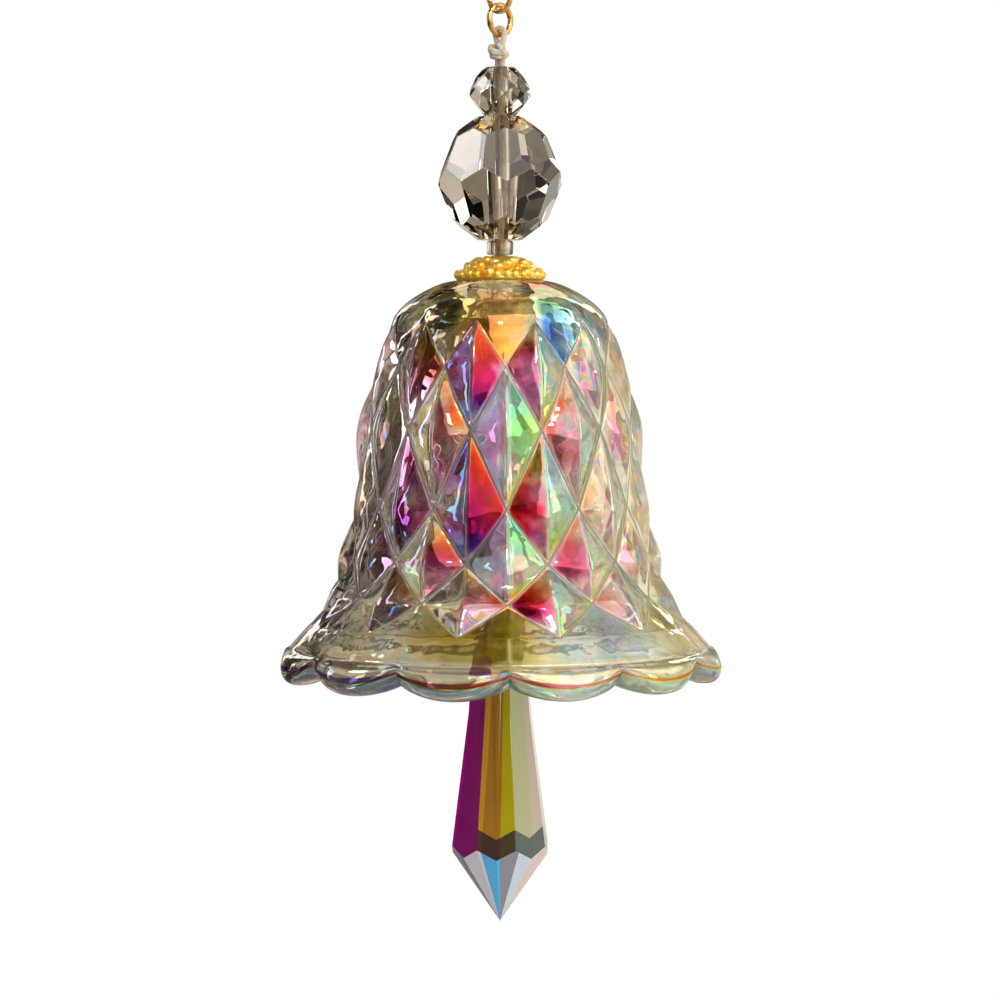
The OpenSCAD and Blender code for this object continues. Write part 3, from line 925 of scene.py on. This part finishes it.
def carved(bm, outline, reach):
    """The solid less a prism along X with this (y, z) outline."""
    cutter = bmesh.new()
    ends = [[cutter.verts.new((x, y, z)) for y, z in outline] for x in (-reach, reach)]
    join_rings(cutter, *ends)
    for end in ends:
        cutter.faces.new(end)
    solids = []
    for source in (bm, cutter):
        bmesh.ops.recalc_face_normals(source, faces=source.faces)
        solids.append(baked("carving", source))
    modifier = solids[0].modifiers.new("carve", "BOOLEAN")
    modifier.operation = "DIFFERENCE"
    modifier.solver = "EXACT"
    modifier.object = solids[1]
    depsgraph = bpy.context.evaluated_depsgraph_get()
    result = bmesh.new()
    result.from_object(solids[0], depsgraph)
    for solid in solids:
        mesh = solid.data
        bpy.data.objects.remove(solid)
        bpy.data.meshes.remove(mesh)
    return result


def icicle(body, turn, material):
    """A long eight-sided drop with a tip of eight kites, ground flat at the top for its ring."""
    _, _, half_h, top = measures("icicle_drop")
    length = 2 * half_h / MM
    girdle = DROP_TIP_H - length
    waist = DROP_WAIST_H - length
    half = pi / DROP_SIDES
    slope = (DROP_R - DROP_WAIST_R) / (waist - girdle)
    kite = DROP_R / DROP_TIP_H
    # Where two kites meet on the middle of a flat
    mid_r = cos(half) * (DROP_R + slope * DROP_TIP_H) / (1 + slope * cos(half) ** 2 / kite)
    mid_z = mid_r * cos(half) / kite - length
    bm = bmesh.new()

    def ring(r, z, offset):
        return [bm.verts.new((r * cos(t), r * sin(t), z))
                for t in ((2 * k + offset) * half for k in range(DROP_SIDES))]

    rings = [ring(DROP_TOP_R - DROP_CHAMFER, 0, 1), ring(DROP_TOP_R, -DROP_CHAMFER, 1),
             ring(DROP_WAIST_R, waist, 1), ring(DROP_R, girdle, 1)]
    mids = ring(mid_r, mid_z, 2)
    point = bm.verts.new((0, 0, -length))
    for upper, lower in zip(rings, rings[1:3]):
        join_rings(bm, upper, lower)
    for k in range(DROP_SIDES):
        n = (k + 1) % DROP_SIDES
        bm.faces.new((rings[2][k], rings[2][n], rings[3][n], mids[k], rings[3][k]))
        bm.faces.new((rings[3][k], mids[k], point, mids[k - 1]))
    bm.faces.new(rings[0])
    for side in (-1, 1):
        ground_off = [(side * DROP_FLAT, 1), (side * DROP_FLAT, -DROP_FLAT_H),
                      (side * DROP_WAIST_R, -3 * DROP_FLAT_H), (side * DROP_R, 1)]
        bm = carved(bm, ground_off, DROP_R)
    polish(bm, 0.07)
    # The drop is laid on its back while its hole is bored
    laid = Matrix.Rotation(radians(90), 4, "X") @ Matrix.Translation((0, 0, DROP_HOLE_DEPTH))
    bm.transform(laid)
    bore_through(bm, DROP_HOLE_R, DROP_FLAT)
    hung = Matrix.Translation((0, 0, top)) @ Matrix.Rotation(radians(turn), 4, "Z")
    bm.transform(hung @ Matrix.Scale(MM, 4) @ laid.inverted())
    finish_piece("icicle", bm, body, material, ["icicle_drop"], sharp_deg=4)


# Iridescent glass -----------------------

# Colours of a thin film as it grows thicker, from purple round to purple again
FILM_STOPS = [(0.0, (0.20, 0.015, 0.30)), (0.1, (0.16, 0.10, 0.78)), (0.2, (0.12, 0.45, 0.82)),
              (0.32, (0.16, 0.80, 0.60)), (0.45, (0.62, 0.84, 0.24)), (0.56, (0.95, 0.74, 0.03)),
              (0.68, (0.96, 0.28, 0.01)), (0.78, (0.72, 0.02, 0.02)), (0.89, (0.62, 0.004, 0.22)),
              (1.0, (0.20, 0.015, 0.30))]


def attribute(nodes, name):
    """A value that the mesh carries."""
    return nodes.add("ShaderNodeAttribute", attribute_name=name).outputs["Fac"]


def bell_material():
    """Pressed glass with an iridescent coating outside. The mesh carries the film's phase and depth, whose
    colours are painted iridescent reflection on the real coating, the lines of the grooves, where shade is
    painted, the share of painted light as a milky cream, and the share of painted shade at the left hand."""
    material, nodes, shader, place = new_material("iridescent_pressed_glass")
    drift = nodes.scaled(nodes.noise(place, 130.0, 3.0), 0.4, -0.2)
    phase = nodes.math("FRACT", nodes.math("ADD", attribute(nodes, "film_phase"), drift))
    patch = nodes.clamp(nodes.scaled(nodes.noise(place, 150.0, 2.0), 5.0, -1.6), 0.35, 1.15)
    depth = nodes.times(attribute(nodes, "film_depth"), patch)
    line = nodes.clamp(nodes.scaled(attribute(nodes, "film_line"), 1.9, -0.8))
    painted_light = attribute(nodes, "film_painted_light")
    side_shade_share = attribute(nodes, "film_side_shade")

    colour = nodes.ramp(phase, FILM_STOPS)
    tint = nodes.add("ShaderNodeGamma")
    nodes.fill(tint, color=colour, gamma=nodes.times(depth, 1.5))
    # Painted shade: the glass is greyer towards the left hand
    smoky = nodes.mix(side_shade_share, (0.97, 0.94, 0.84, 1), (0.80, 0.76, 0.71, 1))
    glass = nodes.mix(1.0, tint.outputs[0], smoky, "MULTIPLY")
    # Painted light: a milky cream mixed into the glass, which also lets less light through and takes off the
    # metal
    painted_cream = nodes.mix(0.30, (0.93, 0.89, 0.69, 1), colour)
    glass = nodes.mix(painted_light, glass, painted_cream)
    sheen = nodes.mix(nodes.math("MINIMUM", depth, 1.0), (1, 1, 1, 1), colour)
    metal = nodes.math("MINIMUM", nodes.times(depth, 0.40), 0.45)
    off_painted_light = nodes.scaled(painted_light, -1.0, 1.0)
    off_line = nodes.scaled(line, -1.0, 1.0)
    through = nodes.times(nodes.scaled(line, -0.75, 1.0), nodes.scaled(painted_light, -0.75, 1.0))
    full = nodes.math("MINIMUM", nodes.times(depth, 3.0), 1.0)
    thickness = nodes.math("ADD", nodes.times(full, nodes.scaled(phase, 380.0, 220.0)), 60.0)
    waves = nodes.noise(place, 190.0, 2.0)
    # Along the grooves the line is painted shade: a dark brown colour, dark reflections and less light
    # through
    nodes.fill(shader,
               base_color=nodes.mix(nodes.times(line, 0.9), glass, (0.12, 0.07, 0.03, 1)),
               specular_tint=nodes.mix(nodes.times(line, 0.8), sheen, (0.2, 0.15, 0.1, 1)),
               metallic=nodes.times(metal, off_painted_light),
               roughness=nodes.times(line, 0.3),
               ior=1.52,
               transmission_weight=through,
               thin_film_ior=2.1,
               thin_film_thickness=nodes.times(thickness, off_line),
               normal=nodes.bump(waves, 0.42, 0.0006))
    return material


def facet_colours(nodes, share, facets):
    """Flat bands of colour round Z: each facet has an edge band, a left half and a right half."""
    stops = []
    for k, bands in enumerate(facets):
        for start, colour in zip((0.0, 0.09, 0.57), bands):
            stops.append(((k + start) / len(facets), colour))
    return nodes.ramp(share, stops, "CONSTANT")


def icicle_material(girdle_z, turn):
    """Cut crystal with a strong iridescent coating: a real thin film, with its reflections painted in as
    colour. Each long facet shows two or three bands of painted colour, which slide sideways as they climb,
    and has painted shade at its foot. The kites of the tip are painted pale, with blue edges."""
    material, nodes, shader, place = new_material("iridescent_crystal")
    x, y, z = nodes.parts(place)
    longitude = nodes.math("ARCTAN2", x, nodes.times(y, -1.0))
    turns = nodes.scaled(longitude, 1 / TAU, 0.5 - turn / 360)

    # Long facets, and how far up and across one a point is
    facet = nodes.times(nodes.math("FRACT", nodes.math("ADD", turns, 0.5 / DROP_SIDES)), DROP_SIDES)
    facet_number = nodes.math("FLOOR", facet)
    across = nodes.math("FRACT", facet)
    climb = nodes.math("DIVIDE", nodes.math("SUBTRACT", z, girdle_z), 0.06)
    slid = nodes.clamp(nodes.scaled(nodes.math("MAXIMUM", climb, 0.0), -0.34, across), 0.01, 0.99)
    body_share = nodes.math("DIVIDE", nodes.math("ADD", facet_number, slid), DROP_SIDES)
    magenta, purple, wine = (0.80, 0.01, 0.55), (0.46, 0.02, 0.30), (0.42, 0.02, 0.20)
    orange, amber, lime = (1.0, 0.48, 0.04), (0.64, 0.29, 0.03), (0.74, 0.66, 0.01)
    sand, rose = (0.58, 0.49, 0.24), (0.70, 0.48, 0.40)
    olive, sage = (0.42, 0.38, 0.06), (0.30, 0.46, 0.28)
    # Painted iridescent reflection: a fixed set of colours on each long facet
    body = facet_colours(nodes, body_share, [
        (olive, amber, wine), (rose, wine, purple), (magenta, purple, magenta), (magenta, purple, purple),
        (orange, amber, lime), (sand, sand, rose), (rose, sage, sand), (orange, rose, wine)])
    magenta_facet = nodes.math("COMPARE", facet_number, 3.0, 0.1)

    pearl, ice, sky, cyan = (0.88, 0.86, 0.98), (0.70, 0.82, 0.98), (0.03, 0.52, 1.0), (0.50, 0.86, 0.95)
    haze_grey, blush, cream = (0.30, 0.25, 0.32), (0.88, 0.74, 0.72), (0.84, 0.74, 0.62)
    # Painted reflection on the tip: pale kites with blue edges
    tip = facet_colours(nodes, nodes.math("FRACT", turns), [
        (sky, ice, blush), (haze_grey, pearl, cyan), (sky, pearl, ice), (pearl, pearl, sky),
        (sky, haze_grey, ice), (blush, cream, blush), (cyan, pearl, sky), (haze_grey, blush, ice)])

    # The body's foot is a zigzag. Painted shade darkens a band over the zigzag, and the body fades to pale
    # gold at the top.
    zigzag_drop = 1.6 * MM
    foot_h = 3.3 * MM
    zigzag = nodes.math("PINGPONG", across, 0.5)
    edge_z = nodes.scaled(nodes.math("SUBTRACT", 0.5, zigzag), 2 * zigzag_drop, girdle_z - zigzag_drop)
    above = nodes.math("SUBTRACT", z, edge_z)
    is_body = nodes.math("GREATER_THAN", above, 0.0)
    fade = nodes.times(nodes.clamp(nodes.scaled(climb, 5.0, -1.9)), 0.75)
    body = nodes.mix(fade, body, (0.58, 0.50, 0.26, 1))
    foot_shade = nodes.times(nodes.math("LESS_THAN", above, foot_h), nodes.scaled(magenta_facet, -1.0, 1.0))
    body = nodes.mix(nodes.times(foot_shade, 0.92), body, (0.05, 0.012, 0.035, 1))
    nodes.fill(shader,
               base_color=nodes.mix(is_body, tip, body),
               metallic=nodes.times(is_body, 0.15),
               transmission_weight=nodes.scaled(foot_shade, -0.2, 0.32),
               roughness=0.02,
               ior=1.55,
               thin_film_ior=2.0,
               thin_film_thickness=460.0)
    return material


# Stage ----------------------------------

def studio_world():
    """A white backdrop for the camera. For light and reflections, a warm room: brown at the left, cream at
    the right, with soft darker and paler places and a pale band low down behind."""
    world = bpy.data.worlds.new("studio")
    bpy.context.scene.world = world
    world.use_nodes = True
    nodes = Nodes(world.node_tree)
    direction = nodes.add("ShaderNodeTexCoord").outputs["Generated"]
    x, y, z = nodes.parts(direction)
    side = nodes.scaled(x, 0.34, nodes.scaled(y, -0.04, 0.46))
    cloud = nodes.scaled(nodes.noise(direction, 2.6, 1.0), 1.1, -0.55)
    band = nodes.scaled(nodes.math("ABSOLUTE", nodes.math("ADD", z, 0.10)), -5.0, 1.0)
    glow = nodes.times(nodes.math("MAXIMUM", band, 0.0), nodes.math("MAXIMUM", y, 0.0))
    lift = nodes.scaled(glow, 0.32, nodes.times(z, -0.06))
    level = nodes.math("ADD", nodes.math("ADD", side, cloud), lift)
    walls = nodes.ramp(level, [(0.25, (0.025, 0.019, 0.014)), (0.42, (0.13, 0.11, 0.085)),
                               (0.58, (0.50, 0.44, 0.35)), (0.80, (0.95, 0.90, 0.82))])
    room = nodes.add("ShaderNodeBackground")
    nodes.fill(room, color=walls, strength=1.15)
    backdrop = nodes.add("ShaderNodeBackground")
    nodes.fill(backdrop, color=(1, 1, 1, 1))
    pick = nodes.add("ShaderNodeMixShader")
    nodes.set(pick, 0, nodes.add("ShaderNodeLightPath").outputs["Is Camera Ray"])
    nodes.set(pick, 1, room.outputs[0])
    nodes.set(pick, 2, backdrop.outputs[0])
    nodes.set(nodes.add("ShaderNodeOutputWorld"), "Surface", pick.outputs[0])


def soft_light(name, longitude, latitude, distance, size, power, colour, target):
    """A soft rectangular lamp that faces the object."""
    data = bpy.data.lights.new(name, "AREA")
    data.shape = "RECTANGLE"
    data.size, data.size_y = size
    data.energy = power
    data.color = colour
    lamp = in_scene(name, data)
    lamp.location = target + distance * towards(longitude, latitude)
    lamp.rotation_euler = (target - lamp.location).to_track_quat("-Z", "Y").to_euler()
    lamp.visible_camera = False


def camera(distance, height, pitch, lens):
    """A camera in front of the object that looks down by pitch degrees."""
    data = bpy.data.cameras.new("camera")
    data.lens = lens
    data.sensor_width = 36
    data.clip_start = 0.01
    eye = in_scene("camera", data)
    eye.location = (0, -distance, height)
    eye.rotation_euler = (radians(90 - pitch), 0, 0)
    bpy.context.scene.camera = eye


def pale_floor(z):
    """A round sheet of paper under the object."""
    material, nodes, shader, place = new_material("floor_paper")
    cloud = nodes.noise(place, 8.0)
    nodes.fill(shader,
               base_color=nodes.ramp(cloud, [(0.3, (0.80, 0.79, 0.77)), (0.7, (0.84, 0.83, 0.81))]),
               roughness=0.7)
    bm = bmesh.new()
    bmesh.ops.create_circle(bm, cap_ends=True, radius=0.34, segments=128)
    bm.transform(Matrix.Translation((0, 0, z)))
    sheet = baked("floor", bm)
    sheet.data.materials.append(material)
    sheet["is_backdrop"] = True


# Everything in its place ----------------

def build():
    gold = gold_material("gold_plate", (0.50, 0.24, 0.05), (0.76, 0.44, 0.13), (0.98, 0.68, 0.27), 0.16)
    # The cap's gold is a lighter, less metallic copy of the plate: painted light
    lit_cap_gold = gold_material("lit_granulated_gold", (0.98, 0.50, 0.04), (1.0, 0.66, 0.10), (1.0, 0.84, 0.34),
                             0.24, 0.72)
    elastic = cord_material()
    smoky = crystal_material("smoky_crystal", (0.66, 0.60, 0.51), (0.76, 0.71, 0.63))
    clear = crystal_material("clear_glass", (0.72, 0.62, 0.50), (0.84, 0.76, 0.64), ior=1.5)

    jump_ring("hanging_ring", "hanger", HANG_WIRE_D, 0, 70, gold)
    jump_ring("chain_ring_upper", "upper_link", LINK_WIRE_D, LINK_TURN, 20, gold)
    jump_ring("chain_ring_middle", "middle_link", LINK_WIRE_D, -LINK_TURN, 200, gold)
    jump_ring("chain_ring_lower", "lower_link", LINK_WIRE_D, LINK_TURN, 150, gold)

    link_wire_z = foot_of("chain_ring_lower") + LINK_WIRE_D / 2
    doubled_cord("cord_strands", "cord", "cord_line", elastic, foot_of("cord"), link_wire_z - KNOT_DROP,
                 link_wire_z, LINK_WIRE_D, 1, LINK_TURN + 90)
    overhand_knot("cord_line", elastic)
    cut_bead("small_cut_bead", "small_crystal_bead", "small_bead", SMALL_CUTS, SMALL_BEAD_R, smoky)
    cut_bead("large_cut_bead", "large_crystal_bead", "large_bead", LARGE_CUTS, LARGE_BEAD_R, smoky)
    spacer("spacer", clear)
    granulated_cap("cap", lit_cap_gold)
    bell("bell", bell_material())
    inside_cap("inner_cap", gold)
    stop("clapper_turn", gold)

    ring_wire_z = top_of("clapper_ring") - DROP_WIRE_D / 2
    doubled_cord("clapper_strands", "clapper_cord", "clapper_line", elastic, top_of("clapper_cord"),
                 ring_wire_z + CRIMP_RISE, ring_wire_z, DROP_WIRE_D, -1, DROP_TURN)
    crimp("clapper_line", gold)
    jump_ring("clapper_ring", "clapper_ring", DROP_WIRE_D, 90 + DROP_TURN, 55, gold)
    icicle("icicle", DROP_TURN, icicle_material(foot_of("icicle_drop") + DROP_TIP_H * MM, DROP_TURN))


def stage():
    low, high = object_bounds()
    middle = Vector((0, 0, (low[2] + high[2]) / 2))
    bead = measures("large_crystal_bead")[0]
    studio_world()
    lavender, warm_white = (0.84, 0.80, 1.0), (1.0, 0.97, 0.92)
    strip = (0.09, 0.55)
    # Name, longitude, latitude, distance, width and height, watts, colour, and what the lamp faces
    lamps = [("side_lamp", -87, 34.5, 0.9, (0.15, 0.15), 0.6, (0.95, 0.96, 1.0), bead),
             ("strip_front", -44, 10, 1.0, strip, 0.5, lavender, middle),
             ("strip_side", -72, 10, 1.0, strip, 0.6, lavender, middle),
             ("strip_left", -104, 10, 1.0, strip, 0.6, lavender, middle),
             ("fill_window", 75, 20, 1.0, (0.2, 0.6), 0.9, (1.0, 0.94, 0.84), middle),
             ("back_left", -155, 15, 1.0, (0.1, 0.5), 0.4, (0.96, 0.97, 1.0), middle),
             ("back_right", 150, 30, 1.0, (0.12, 0.5), 0.6, warm_white, middle),
             ("back_top", 176, 50, 0.7, (0.4, 0.3), 0.8, (1.0, 0.86, 0.66), middle),
             ("front_soft", 25, 30, 1.1, (1.2, 1.2), 8.0, (1.0, 0.98, 0.95), middle),
             ("front_small", 0, 36, 0.9, (0.09, 0.09), 0.8, warm_white, middle)]
    for lamp in lamps:
        soft_light(*lamp)
    pale_floor(low[2] - 0.13)
    camera(distance=0.439, height=top_of("glass_bell") - 0.0135, pitch=2.8, lens=98.75)
    bpy.context.scene.view_settings.view_transform = "Standard"


build()
stage()
